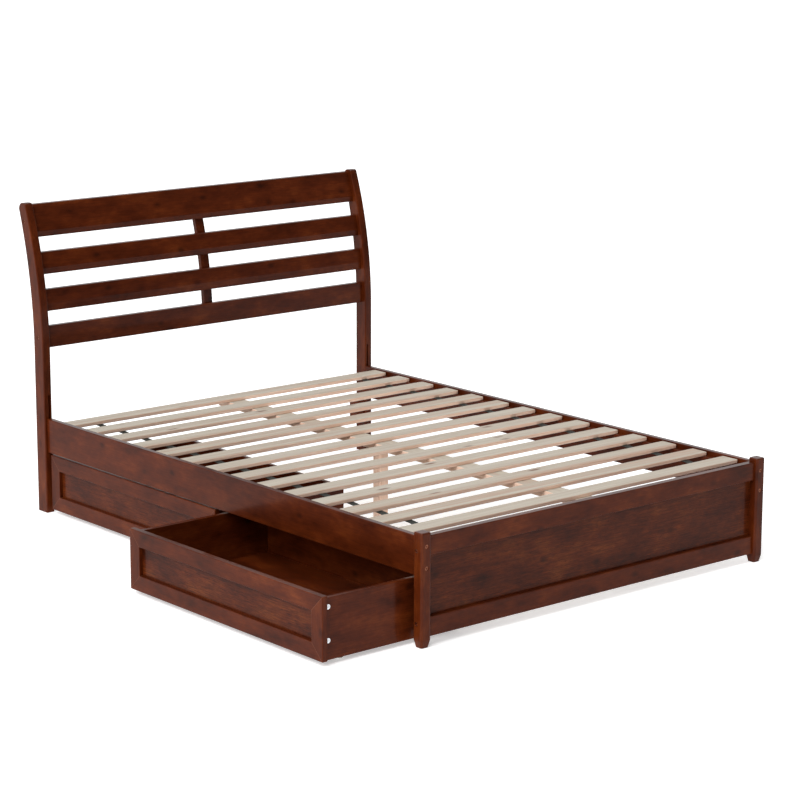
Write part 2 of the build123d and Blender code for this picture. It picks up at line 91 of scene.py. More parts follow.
def add_node(tree: Tree, kind: str, links: dict | None = None, **settings: object) -> bpy.types.Node:
    """Add a shader node with its settings and links.

    Args:
        tree: the node tree that takes the node.
        kind: the node's Blender type name.
        links: input name or number to either a socket that feeds it or a value for it.
        settings: attributes of the node itself.

    Returns:
        The new node.
    """
    node = tree.nodes.new(kind)
    for name, value in settings.items():
        setattr(node, name, value)
    for name, value in (links or {}).items():
        if isinstance(value, Socket):
            tree.links.new(value, node.inputs[name])
        else:
            node.inputs[name].default_value = value
    return node


def ramp(tree: Tree, factor: Socket, stops: Sequence[tuple[float, str]]) -> Socket:
    """Colour a factor by a row of stops.

    Args:
        tree: the node tree that takes the ramp.
        factor: the socket that drives it.
        stops: place and sRGB hex colour of each stop, from low to high.

    Returns:
        The ramp's colour socket.
    """
    node = add_node(tree, "ShaderNodeValToRGB", {"Fac": factor})
    elements = node.color_ramp.elements
    while len(elements) < len(stops):
        elements.new(0.5)
    for element, (place, colour) in zip(elements, stops):
        element.position = place
        element.color = linear(colour)
    return node.outputs["Color"]


def maths(tree: Tree, operation: str, *values: object) -> Socket:
    """Do one sum on sockets or numbers.

    Args:
        tree: the node tree that takes the sum.
        operation: the Math node's operation.
        values: its operands, in order.

    Returns:
        The result's socket.
    """
    return add_node(tree, "ShaderNodeMath", dict(enumerate(values)), operation=operation).outputs[0]


def mix_colours(
    tree: Tree, share: object, low: object, high: object, blend: str = "MIX"
) -> Socket:
    """Mix two colours.

    Args:
        tree: the node tree that takes the mix.
        share: how much of the second colour, a socket or a number.
        low: the first colour.
        high: the second colour.
        blend: the way they are mixed.

    Returns:
        The mixed colour's socket.
    """
    links = {0: share, 6: low, 7: high}
    return add_node(tree, "ShaderNodeMix", links, data_type="RGBA", blend_type=blend).outputs[2]


def stretch(tree: Tree, low: float, high: float, value: Socket) -> Socket:
    """Spread the part of a value between two limits over nought to one, clamped.

    Args:
        tree: the node tree that takes the step.
        low: the value that gives nought.
        high: the value that gives one.
        value: the value to spread.

    Returns:
        The spread value's socket.
    """
    links = {"Value": value, "From Min": low, "From Max": high, "To Min": 0.0, "To Max": 1.0}
    return add_node(tree, "ShaderNodeMapRange", links, clamp=True).outputs["Result"]


def noise(tree: Tree, vector: Socket, size: Triple, detail: float, rough: float) -> Socket:
    """Noise whose features have a given size along each grain axis.

    Args:
        tree: the node tree that takes the noise.
        vector: the place, in metres.
        size: the feature's size in millimetres along and across the fibres.
        detail: octaves.
        rough: how strong the fine octaves are.

    Returns:
        The noise's factor socket.
    """
    scale = tuple(1 / (length * MM) for length in size)
    place = add_node(tree, "ShaderNodeMapping", {"Vector": vector, "Scale": scale})
    links = {"Vector": place.outputs[0], "Scale": 1.0, "Detail": detail, "Roughness": rough}
    return add_node(tree, "ShaderNodeTexNoise", links).outputs["Fac"]


def new_material(name: str) -> tuple[bpy.types.Material, Tree, bpy.types.Node]:
    """Start a material with a plain surface shader.

    Args:
        name: the material's name.

    Returns:
        The material, its node tree and its shader.
    """
    material = bpy.data.materials.new(name)
    material.use_nodes = True
    tree = material.node_tree
    return material, tree, tree.nodes["Principled BSDF"]


def object_place(tree: Tree) -> Socket:
    """Read the point on the piece.

    Args:
        tree: the node tree that takes the node.

    Returns:
        The point's socket, in metres.
    """
    return add_node(tree, "ShaderNodeTexCoord").outputs["Object"]


def upward_part(tree: Tree) -> Socket:
    """Tell how far the surface faces up.

    Args:
        tree: the node tree that takes the nodes.

    Returns:
        A socket that is one on a level top and nought on an upright face.
    """
    normal = add_node(tree, "ShaderNodeNewGeometry").outputs["Normal"]
    return add_node(tree, "ShaderNodeSeparateXYZ", {0: normal}).outputs[2]


def knot_spots(tree: Tree, place: Socket, per_metre: Triple, spot: Pair) -> Socket:
    """Scatter small knots through the wood.

    Args:
        tree: the node tree that takes the nodes.
        place: the point, with its first part along the fibres.
        per_metre: how many cells there are along and across the fibres, one knot in each.
        spot: where a knot starts to fade and where it ends, as shares of a cell.

    Returns:
        A socket that is one in a knot's core and nought outside it.
    """
    cells = add_node(tree, "ShaderNodeMapping", {"Vector": place, "Scale": per_metre}).outputs[0]
    knots = add_node(tree, "ShaderNodeTexVoronoi", {"Vector": cells, "Scale": 1.0})
    return maths(tree, "SUBTRACT", 1.0, stretch(tree, *spot, knots.outputs["Distance"]))


def relief(tree: Tree, shader: bpy.types.Node, height: Socket, strength: float, depth: float) -> None:
    """Give a surface fine relief.

    Args:
        tree: the material's node tree.
        shader: the surface shader.
        height: the relief's height, nought to one.
        strength: how much of it is felt.
        depth: the real depth of the relief, in metres.
    """
    links = {"Height": height, "Strength": strength, "Distance": depth}
    tree.links.new(add_node(tree, "ShaderNodeBump", links).outputs[0], shader.inputs["Normal"])


# ---------------------------------------------------------------- finishes


@dataclass(frozen=True)
class MitreFrame:
    """The four mitred members of a drawer front, by the limits of the front."""

    low: Pair
    high: Pair
    joint_width: float = 0.7 * MM

    def masks(self, tree: Tree, place: Socket) -> tuple[Socket, Socket]:
        """Tell the upright members from the long ones.

        Args:
            tree: the node tree that takes the nodes.
            place: the point on the piece.

        Returns:
            A socket that is one on the upright members, and one that is one on the mitre lines.
        """
        parts = add_node(tree, "ShaderNodeSeparateXYZ", {0: place}).outputs
        reach = []
        for axis, part in enumerate((parts[1], parts[2])):
            middle = (self.low[axis] + self.high[axis]) / 2
            half = (self.high[axis] - self.low[axis]) / 2
            from_middle = maths(tree, "ABSOLUTE", maths(tree, "SUBTRACT", part, middle))
            reach.append(maths(tree, "SUBTRACT", half, from_middle))
        upright = maths(tree, "LESS_THAN", reach[0], reach[1])
        apart = maths(tree, "ABSOLUTE", maths(tree, "SUBTRACT", reach[0], reach[1]))
        return upright, maths(tree, "LESS_THAN", apart, self.joint_width)


@dataclass(frozen=True)
class StainedWood:
    """Solid rubberwood with a walnut stain under semi-gloss lacquer.

    The stain takes unevenly: clouds a hand wide, darker flecks and small knots under a smooth coat.
    Sizes are in millimetres, along the fibres and then twice across them.
    """

    name: str
    grain: Grain
    seed: float = 0.0
    deep: str = "#270d03"
    dark: str = "#451907"
    body: str = "#54210a"
    light: str = "#6a3011"
    stops: tuple[float, ...] = (0.24, 0.40, 0.54, 0.72)
    cloud_size: Triple = (150, 62, 62)
    cloud_share: float = 0.72
    patch_size: Triple = (34, 17, 17)
    fibre_size: Triple = (60, 2.2, 2.2)
    pore_size: Triple = (9, 0.7, 0.7)
    line_limits: Pair = (0.38, 0.62)
    line_shade: str = "#6f6f6f"
    line_strength: float = 0.30
    knot: str = "#1c0702"
    knots_per_metre: Triple = (8.0, 13.0, 13.0)
    knot_spot: Pair = (0.05, 0.17)
    knot_share: float = 0.62
    figure_size: Triple = (260, 9, 9)
    figure_rings: float = 9.0
    late_limits: Pair = (0.30, 0.48)
    late_share: float = 0.5
    stroke_size: Triple = (16, 1.1, 1.1)
    stroke_limits: Pair = (0.54, 0.66)
    open_pores: float = 0.0
    bump: float = 0.05
    fibre_relief: float = 0.7
    pore_relief: float = 0.3
    grain_depth: float = 0.6 * MM
    roughness: float = 0.34
    roughness_swing: float = 0.16
    film: float = 0.05
    coat: float = 0.12
    # Painted sheen: extra coat on the faces that look up, so that they show a lighter highlight.
    top_limits: Pair = (0.35, 0.8)
    painted_top_sheen: float = 0.55
    coat_roughness: float = 0.12
    lacquer_ior: float = 1.5
    # Painted highlight: the lighter line drawn along the mitres, and how strong it is.
    painted_mitre_highlight: str = "#8a5a44"
    painted_mitre_share: float = 0.4
    mitre: MitreFrame | None = None

    def grain_place(self, tree: Tree) -> tuple[Socket, Socket | None]:
        """Turn the point so that its first part runs along the fibres.

        Args:
            tree: the material's node tree.

        Returns:
            The turned point, and a socket that is one on the mitre lines where there are any.
        """
        place = object_place(tree)
        parts = add_node(tree, "ShaderNodeSeparateXYZ", {0: place}).outputs
        along_y = (1, 0, 2)
        orders = {
            Grain.ACROSS: (0, 1, 2),
            Grain.ALONG: along_y,
            Grain.UP: (2, 0, 1),
            Grain.MITRED: along_y,
        }
        ordered = {i: parts[axis] for i, axis in enumerate(orders[self.grain])}
        turned = add_node(tree, "ShaderNodeCombineXYZ", ordered).outputs[0]
        joint = None
        if self.mitre is not None:
            upright, joint = self.mitre.masks(tree, place)
            standing = {i: parts[axis] for i, axis in enumerate(orders[Grain.UP])}
            upward = add_node(tree, "ShaderNodeCombineXYZ", standing).outputs[0]
            links = {0: upright, 4: turned, 5: upward}
            turned = add_node(tree, "ShaderNodeMix", links, data_type="VECTOR").outputs[1]
        offset = (self.seed, self.seed * 0.7, self.seed * 1.3)
        moved = add_node(tree, "ShaderNodeMapping", {"Vector": turned, "Location": offset})
        return moved.outputs[0], joint

    def veneer(self, tree: Tree, place: Socket, colour: Socket) -> Socket:
        """Draw the dark late wood and the open pores of a sliced veneer over a colour.

        Args:
            tree: the material's node tree.
            place: the point, with its first part along the fibres.
            colour: the colour so far.

        Returns:
            The colour with its figure.
        """
        figure = noise(tree, place, self.figure_size, 3.0, 0.5)
        bands = maths(tree, "PINGPONG", maths(tree, "MULTIPLY", figure, self.figure_rings), 0.5)
        late_wood = stretch(tree, *self.late_limits, bands)
        pores = noise(tree, place, self.stroke_size, 2.0, 0.5)
        strokes = stretch(tree, *self.stroke_limits, pores)
        both = maths(tree, "ADD", strokes, maths(tree, "MULTIPLY", late_wood, self.late_share))
        share = maths(tree, "MINIMUM", maths(tree, "MULTIPLY", both, self.open_pores), 1.0)
        return mix_colours(tree, share, colour, linear(self.knot))

    def build(self) -> bpy.types.Material:
        """Make the material.

        Returns:
            The finished material.
        """
        material, tree, shader = new_material(self.name)
        place, joint = self.grain_place(tree)
        clouds = noise(tree, place, self.cloud_size, 4.0, 0.5)
        patches = noise(tree, place, self.patch_size, 3.0, 0.6)
        fibres = noise(tree, place, self.fibre_size, 3.0, 0.6)
        pores = noise(tree, place, self.pore_size, 2.0, 0.5)

        cloudy = maths(tree, "MULTIPLY", clouds, self.cloud_share)
        patchy = maths(tree, "MULTIPLY", patches, 1 - self.cloud_share)
        tones = zip(self.stops, (self.deep, self.dark, self.body, self.light))
        colour = ramp(tree, maths(tree, "ADD", cloudy, patchy), tuple(tones))
        streaks = stretch(tree, *self.line_limits, fibres)
        lines = ramp(tree, streaks, ((0.0, self.line_shade), (1.0, WHITE)))
        colour = mix_colours(tree, self.line_strength, colour, lines, "MULTIPLY")
        knot = knot_spots(tree, place, self.knots_per_metre, self.knot_spot)
        shade = maths(tree, "MULTIPLY", knot, self.knot_share)
        colour = mix_colours(tree, shade, colour, linear(self.knot))
        if self.open_pores:
            colour = self.veneer(tree, place, colour)
        # Painted highlight: a lighter line along the mitres, standing in for light catching the mitre
        # joints.
        if joint is not None:
            mitre_light = maths(tree, "MULTIPLY", joint, self.painted_mitre_share)
            colour = mix_colours(tree, mitre_light, colour, linear(self.painted_mitre_highlight))
        tree.links.new(colour, shader.inputs["Base Color"])

        uneven = maths(tree, "MULTIPLY", patches, self.roughness_swing)
        sheen = maths(tree, "ADD", uneven, self.roughness - self.roughness_swing / 2)
        tree.links.new(sheen, shader.inputs["Roughness"])
        coarse = maths(tree, "MULTIPLY", fibres, self.fibre_relief)
        height = maths(tree, "ADD", coarse, maths(tree, "MULTIPLY", pores, self.pore_relief))
        relief(tree, shader, height, self.bump, self.grain_depth)
        shader.inputs["IOR"].default_value = self.lacquer_ior
        shader.inputs["Specular IOR Level"].default_value = self.film

        # Painted sheen: the coat is made stronger on the tops and the rounded upper edges, so that
        # they show a lighter highlight.
        top = stretch(tree, *self.top_limits, upward_part(tree))
        coat = maths(tree, "ADD", maths(tree, "MULTIPLY", top, self.painted_top_sheen), self.coat)
        tree.links.new(coat, shader.inputs["Coat Weight"])
        shader.inputs["Coat Roughness"].default_value = self.coat_roughness
        return material


@dataclass(frozen=True)
class BareWood:
    """Planed bare softwood for slats: pale, faintly striped, with a few small knots.

    Painted light: the faces that don't lie level are drawn much lighter and warmer, standing in for
    light on them. Each slat has its own tone and figure.
    """

    name: str
    grain: Grain
    pitch: float = 134 * MM
    slat_shift: float = 0.37
    pale: str = "#c7bfb1"
    mid: str = "#bfb5a6"
    # Painted light: the much lighter, warmer colour of the faces that don't lie level.
    warm: str = "#bfa795"
    painted_side_light: str = "#fddfca"
    knot: str = "#6e4534"
    stops: Triple = (0.30, 0.46, 0.62)
    band_size: Triple = (420, 14, 14)
    band_share: float = 0.75
    own_share: float = 0.22
    fibre_size: Triple = (120, 1.6, 1.6)
    line_limits: Pair = (0.35, 0.65)
    face_lines: str = "#b9a595"
    painted_side_lines: str = "#e6d2c6"
    line_strength: float = 0.30
    painted_side_share: float = 0.9
    level_limits: Pair = (0.3, 0.9)
    knots_per_metre: Triple = (4.0, 13.0, 13.0)
    knot_spot: Pair = (0.05, 0.13)
    knot_share: float = 0.8
    bump: float = 0.18
    grain_depth: float = 0.5 * MM
    roughness: float = 0.55
    roughness_swing: float = 0.15
    ior: float = 1.45

    def slat_place(self, tree: Tree) -> tuple[Socket, Socket]:
        """Turn the point along the fibres and shift it from slat to slat.

        Args:
            tree: the material's node tree.

        Returns:
            The turned point, and a tone of each slat's own, nought to one.
        """
        parts = add_node(tree, "ShaderNodeSeparateXYZ", {0: object_place(tree)}).outputs
        orders = {Grain.ACROSS: (0, 1, 2), Grain.ALONG: (1, 0, 2), Grain.UP: (2, 0, 1)}
        first, second, third = orders[self.grain]
        along = maths(tree, "ADD", parts[1], 10 * self.pitch)
        number = maths(tree, "FLOOR", maths(tree, "DIVIDE", along, self.pitch))
        own = add_node(tree, "ShaderNodeTexWhiteNoise", {"W": number}, noise_dimensions="1D")
        shift = maths(tree, "MULTIPLY", number, self.slat_shift)
        ordered = {0: parts[first], 1: parts[second], 2: maths(tree, "ADD", parts[third], shift)}
        turned = add_node(tree, "ShaderNodeCombineXYZ", ordered)
        return turned.outputs[0], own.outputs["Value"]

    def build(self) -> bpy.types.Material:
        """Make the material.

        Returns:
            The finished material.
        """
        material, tree, shader = new_material(self.name)
        place, own = self.slat_place(tree)
        bands = noise(tree, place, self.band_size, 3.0, 0.55)
        fibres = noise(tree, place, self.fibre_size, 3.0, 0.6)
        striped = maths(tree, "MULTIPLY", bands, self.band_share)
        tone = maths(tree, "ADD", striped, maths(tree, "MULTIPLY", own, self.own_share))
        colour = ramp(tree, tone, tuple(zip(self.stops, (self.warm, self.mid, self.pale))))
        lines = stretch(tree, *self.line_limits, fibres)
        planed = ramp(tree, lines, ((0.0, self.face_lines), (1.0, WHITE)))
        colour = mix_colours(tree, self.line_strength, colour, planed, "MULTIPLY")

        # Painted light: faces that don't lie level are mixed towards a much lighter, warmer colour.
        level = stretch(tree, *self.level_limits, maths(tree, "ABSOLUTE", upward_part(tree)))
        edge = maths(tree, "SUBTRACT", 1.0, level)
        painted_side_grain = ramp(tree, lines, ((0.0, self.painted_side_lines), (1.0, WHITE)))
        painted_side_light = mix_colours(tree, 1.0, linear(self.painted_side_light), painted_side_grain, "MULTIPLY")
        colour = mix_colours(tree, maths(tree, "MULTIPLY", edge, self.painted_side_share), colour, painted_side_light)
        knot = knot_spots(tree, place, self.knots_per_metre, self.knot_spot)
        shade = maths(tree, "MULTIPLY", knot, self.knot_share)
        colour = mix_colours(tree, shade, colour, linear(self.knot))
        tree.links.new(colour, shader.inputs["Base Color"])

        uneven = maths(tree, "MULTIPLY", fibres, self.roughness_swing)
        rough = maths(tree, "ADD", uneven, self.roughness)
        tree.links.new(rough, shader.inputs["Roughness"])
        relief(tree, shader, fibres, self.bump, self.grain_depth)
        shader.inputs["IOR"].default_value = self.ior
        return material


@dataclass(frozen=True)
class Webbing:
    """Woven polypropylene strap: near black, ribbed, with a slight waxy shine on the yarns, and
    painted light and shade on the weave.

    The real yarns are about 1 mm wide; they are drawn 2 mm wide so that they show.
    """

    name: str = "woven_polypropylene"
    yarn: float = 2.0 * MM
    # Painted shade in the weave's hollows and painted light on its crowns.
    shaded_hollow: str = "#0d100e"
    crown: str = "#2d332e"
    bump: float = 0.5
    yarn_depth: float = 0.4 * MM
    roughness: float = 0.5
    roughness_swing: float = 0.15
    ior: float = 1.49

    def build(self) -> bpy.types.Material:
        """Make the material.

        Returns:
            The finished material.
        """
        material, tree, shader = new_material(self.name)
        parts = add_node(tree, "ShaderNodeSeparateXYZ", {0: object_place(tree)}).outputs
        turn = 2 * math.pi / self.yarn
        warp = maths(tree, "SINE", maths(tree, "MULTIPLY", parts[0], turn))
        weft = maths(tree, "SINE", maths(tree, "MULTIPLY", parts[1], turn))
        crossing = maths(tree, "MULTIPLY", warp, weft)
        weave = maths(tree, "ADD", maths(tree, "MULTIPLY", crossing, 0.5), 0.5)
        # Painted light and shade: the weave's crowns are drawn lighter and its hollows darker.
        colour = ramp(tree, weave, ((0.0, self.shaded_hollow), (1.0, self.crown)))
        tree.links.new(colour, shader.inputs["Base Color"])
        relief(tree, shader, weave, self.bump, self.yarn_depth)
        uneven = maths(tree, "MULTIPLY", weave, self.roughness_swing)
        rough = maths(tree, "ADD", uneven, self.roughness)
        tree.links.new(rough, shader.inputs["Roughness"])
        shader.inputs["IOR"].default_value = self.ior
        return material


@dataclass(frozen=True)
class Metal:
    """A small metal fitting: its colour, how it was finished and how far the shine breaks up."""

    name: str
    low: str
    high: str
    roughness: float
    patch: float = 3.0
    grit: float = 0.8
    grit_depth: float = 0.2 * MM
    bump: float = 0.12
    roughness_swing: float = 0.2

    def build(self) -> bpy.types.Material:
        """Make the material.

        Returns:
            The finished material.
        """
        material, tree, shader = new_material(self.name)
        place = object_place(tree)
        patches = noise(tree, place, (self.patch,) * 3, 4.0, 0.6)
        colour = ramp(tree, patches, ((0.35, self.low), (0.65, self.high)))
        tree.links.new(colour, shader.inputs["Base Color"])
        uneven = maths(tree, "MULTIPLY", patches, self.roughness_swing)
        rough = maths(tree, "ADD", uneven, self.roughness - self.roughness_swing / 2)
        tree.links.new(rough, shader.inputs["Roughness"])
        grit = noise(tree, place, (self.grit,) * 3, 2.0, 0.5)
        relief(tree, shader, grit, self.bump, self.grit_depth)
        shader.inputs["Metallic"].default_value = 1.0
        return material


@dataclass(frozen=True)
class MouldedNylon:
    """Moulded pale nylon for the drawer wheels: slightly milky, with faint dirt on it."""

    name: str = "moulded_nylon"
    dirty: str = "#b9b7ad"
    clean: str = "#dcdbd5"
    smudge_size: Triple = (7, 7, 7)
    skin_size: Triple = (0.9, 0.9, 0.9)
    skin_depth: float = 0.2 * MM
    bump: float = 0.08
    roughness: float = 0.3
    roughness_swing: float = 0.25
    ior: float = 1.53
    haze: float = 0.1
    haze_depth: float = 2 * MM

    def build(self) -> bpy.types.Material:
        """Make the material.

        Returns:
            The finished material.
        """
        material, tree, shader = new_material(self.name)
        place = object_place(tree)
        smudge = noise(tree, place, self.smudge_size, 4.0, 0.6)
        colour = ramp(tree, smudge, ((0.3, self.dirty), (0.6, self.clean)))
        tree.links.new(colour, shader.inputs["Base Color"])
        uneven = maths(tree, "MULTIPLY", smudge, self.roughness_swing)
        rough = maths(tree, "ADD", uneven, self.roughness)
        tree.links.new(rough, shader.inputs["Roughness"])
        skin = noise(tree, place, self.skin_size, 2.0, 0.5)
        relief(tree, shader, skin, self.bump, self.skin_depth)
        shader.inputs["IOR"].default_value = self.ior
        shader.inputs["Subsurface Weight"].default_value = self.haze
        shader.inputs["Subsurface Scale"].default_value = self.haze_depth
        return material


@dataclass(frozen=True)
class PaleFloor:
    """Back-lit white acrylic studio floor: nearly white, a little uneven, with pale shadows."""

    name: str = "back_lit_floor"
    low: str = "#f3f3f3"
    high: str = "#f6f6f6"
    cloud_size: Triple = (900, 900, 900)
    roughness: float = 0.7
    glow: float = 0.45

    def build(self) -> bpy.types.Material:
        """Make the material.

        Returns:
            The finished material.
        """
        material, tree, shader = new_material(self.name)
        clouds = noise(tree, object_place(tree), self.cloud_size, 2.0, 0.5)
        colour = ramp(tree, clouds, ((0.3, self.low), (0.7, self.high)))
        tree.links.new(colour, shader.inputs["Base Color"])
        shader.inputs["Roughness"].default_value = self.roughness
        shader.inputs["Emission Color"].default_value = linear(WHITE)
        shader.inputs["Emission Strength"].default_value = self.glow
        return material


# ---------------------------------------------------------------- modelling helpers


def deselect() -> None:
    """Leave edit mode and deselect every object."""
    if bpy.context.object is not None and bpy.context.object.mode != "OBJECT":
        bpy.ops.object.mode_set(mode="OBJECT")
    bpy.ops.object.select_all(action="DESELECT")


def only(piece: bpy.types.Object) -> None:
    """Make one object the only selected and the active one.

    Args:
        piece: the object.
    """
    deselect()
    piece.select_set(True)
    bpy.context.view_layer.objects.active = piece


def select_faces(piece: bpy.types.Object, wanted: Callable[[Vector, Vector], bool]) -> None:
    """Select the faces that a test picks, and go into edit mode on them.

    Args:
        piece: the mesh object.
        wanted: takes a face's middle and its normal and tells whether it is wanted.
    """
    only(piece)
    bpy.ops.object.mode_set(mode="EDIT")
    bpy.ops.mesh.select_mode(type="FACE")
    bpy.ops.mesh.select_all(action="DESELECT")
    bpy.ops.object.mode_set(mode="OBJECT")
    for face in piece.data.polygons:
        face.select = wanted(face.center, face.normal)
    bpy.ops.object.mode_set(mode="EDIT")


def settle(piece: bpy.types.Object) -> None:
    """Put a piece's place, turn and scale into its mesh.

    Args:
        piece: the mesh object.
    """
    only(piece)
    bpy.ops.object.transform_apply(location=True, rotation=True, scale=True)


def apply_modifier(piece: bpy.types.Object, kind: str, **settings: object) -> None:
    """Add one modifier and apply it.

    Args:
        piece: the mesh object.
        kind: the modifier's type.
        settings: the modifier's attributes.
    """
    only(piece)
    modifier = piece.modifiers.new(kind.lower(), kind)
    for name, value in settings.items():
        setattr(modifier, name, value)
    bpy.ops.object.modifier_apply(modifier=modifier.name)


def dress(piece: bpy.types.Object, material: bpy.types.Material) -> None:
    """Give every slot of a piece one material.

    Args:
        piece: the mesh object.
        material: its finish.
    """
    if not piece.data.materials:
        piece.data.materials.append(material)
    for number in range(len(piece.data.materials)):
        piece.data.materials[number] = material


# ---------------------------------------------------------------- sub-assemblies and studio


@dataclass
class SlatWebbing:
    """The two straps that space the slats, with the staples that hold them under each slat."""

    width: float = 25 * MM
    sag: float = 3.5 * MM
    steep_step: Pair = (0.3, 0.75)  # shares of the gap and of the sag
    flat_step: Pair = (0.2, 0.25)
    staple_crown: float = 10 * MM
    staple_wire: float = 1.1 * MM
    staple_leg: float = 1.6 * MM
    staple_offset: float = 11 * MM
    strap_edge: float = 0.35 * MM
    wire_edge: float = 0.3 * MM

    def strap(
        self, side: str, x: Pair, y: Pair, top: float, thick: float, slats: list[Pair]
    ) -> bpy.types.Object:
        """Model one strap, drawn out slat by slat and hanging a little in each gap.

        Args:
            side: left or right.
            x: the strap's edges.
            y: its foot end and head end.
            top: the underside of the slats.
            thick: the webbing's thickness.
            slats: foot edge and head edge of each slat, from the foot.

        Returns:
            The strap.
        """
        deselect()
        first = min(slats[0][1], y[1]) - y[0]
        middle = ((x[0] + x[1]) / 2, y[0] + first / 2, top)
        bpy.ops.mesh.primitive_plane_add(size=1, location=middle)
        piece = bpy.context.object
        piece.name = f"webbing_strap_{side}"
        piece.scale = (x[1] - x[0], first, 1)
        settle(piece)
        bpy.ops.object.mode_set(mode="EDIT")
        bpy.ops.mesh.select_mode(type="EDGE")
        bpy.ops.mesh.select_all(action="DESELECT")
        bpy.ops.object.mode_set(mode="OBJECT")
        for edge in piece.data.edges:
            ends = [piece.data.vertices[i].co.y for i in edge.vertices]
            edge.select = min(ends) > y[0] + first / 2
        bpy.ops.object.mode_set(mode="EDIT")
        for (_, near), (far, far_head) in zip(slats, slats[1:]):
            gap = far - near
            for drop in (-self.sag, self.sag):
                for step in (self.steep_step, self.flat_step):
                    self.draw_out(gap * step[0], drop * step[1])
            self.draw_out(min(far_head, y[1]) - far, 0.0)
        bpy.ops.object.mode_set(mode="OBJECT")
        apply_modifier(piece, "SOLIDIFY", thickness=thick, offset=-1.0)
        apply_modifier(piece, "BEVEL", width=self.strap_edge, segments=2, limit_method="ANGLE")
        return piece

    def draw_out(self, along: float, up: float) -> None:
        """Extrude the strap's free end.

        Args:
            along: how far towards the head.
            up: how far up, or down if below nought.
        """
        bpy.ops.mesh.extrude_region_move(TRANSFORM_OT_translate={"value": (0, along, up)})

    def staple(self) -> bpy.types.Object:
        """Model one wire staple at the origin, crown along X, legs up into the slat.

        Returns:
            The staple that every other one is copied from.
        """
        deselect()
        bpy.ops.mesh.primitive_cube_add(size=1, location=(0, 0, 0))
        piece = bpy.context.object
        between_legs = self.staple_crown - 2 * self.staple_wire
        piece.scale = (between_legs, self.staple_wire, self.staple_wire)
        settle(piece)

        def on_top_of_leg(middle: Vector, normal: Vector) -> bool:
            """Tell whether a face is the top of the leg on the side being made."""
            return normal.z > FACING and middle.x * way > between_legs / 2

        for way in (-1, 1):
            select_faces(piece, lambda middle, normal: normal.x * way > FACING)
            outward = (way * self.staple_wire, 0, 0)
            bpy.ops.mesh.extrude_region_move(TRANSFORM_OT_translate={"value": outward})
            bpy.ops.object.mode_set(mode="OBJECT")
            select_faces(piece, on_top_of_leg)
            upward = (0, 0, self.staple_leg)
            bpy.ops.mesh.extrude_region_move(TRANSFORM_OT_translate={"value": upward})
            bpy.ops.object.mode_set(mode="OBJECT")
        apply_modifier(piece, "BEVEL", width=self.wire_edge, segments=1, limit_method="ANGLE")
        return piece

    def staple_row(
        self, side: str, pattern: bpy.types.Object, x: float, y: Pair, height: float, slats: list[Pair]
    ) -> bpy.types.Object:
        """Put two staples under each slat along one strap, and join them.

        Args:
            side: left or right.
            pattern: the staple to copy.
            x: the strap's middle.
            y: the strap's foot end and head end.
            height: the middle of the staples' crowns.
            slats: foot edge and head edge of each slat, from the foot.

        Returns:
            The joined row.
        """
        copies = []
        for foot_edge, head_edge in slats:
            middle = (max(foot_edge, y[0]) + min(head_edge, y[1])) / 2
            for way in (-1, 1):
                copy = pattern.copy()
                copy.data = pattern.data.copy()
                bpy.context.scene.collection.objects.link(copy)
                copy.location = (x, middle + way * self.staple_offset, height)
                copies.append(copy)
        deselect()
        for copy in copies:
            copy.select_set(True)
        bpy.context.view_layer.objects.active = copies[0]
        bpy.ops.object.join()
        row = bpy.context.object
        row.name = f"webbing_staples_{side}"
        settle(row)
        return row

    def build(
        self, webbing: bpy.types.Material, steel: bpy.types.Material, slat_names: list[str]
    ) -> None:
        """Model, dress and place both straps and their staples.

        Args:
            webbing: the strap's finish.
            steel: the staples' finish.
            slat_names: the slats' nodes, from the head.
        """
        low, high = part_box("slat_webbing")
        thick = high.z - low.z
        ends = (low.y, high.y)
        boxes = [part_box(name) for name in reversed(slat_names)]
        slats = [(corners[0].y, corners[1].y) for corners in boxes]
        crown_height = high.z - thick - self.staple_wire / 2
        pattern = self.staple()
        for side, outer, inward in (("left", low.x, 1), ("right", high.x, -1)):
            edges = tuple(sorted((outer, outer + inward * self.width)))
            strap = self.strap(side, edges, ends, high.z, thick, slats)
            dress(strap, webbing)
            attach(strap, "bed_frame")
            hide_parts("slat_webbing")
            row = self.staple_row(side, pattern, sum(edges) / 2, ends, crown_height, slats)
            dress(row, steel)
            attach(row, "bed_frame")
            log.info("webbing strap and staples, %s", side)
        bpy.data.objects.remove(pattern)


@dataclass(frozen=True)
class SoftLight:
    """One square soft light: where it hangs, its power in watts, its side and what it faces."""

    name: str
    place: Triple
    power: float
    side: float = 3.0
    aim: Triple = (0, 0, 0.3)

    def hang(self) -> None:
        """Add the light to the scene."""
        data = bpy.data.lights.new(self.name, "AREA")
        data.shape = "SQUARE"
        data.size = self.side
        data.energy = self.power
        lamp = bpy.data.objects.new(self.name, data)
        lamp.location = self.place
        toward = Vector(self.aim) - Vector(self.place)
        lamp.rotation_euler = toward.to_track_quat("-Z", "Y").to_euler()
        bpy.context.scene.collection.objects.link(lamp)


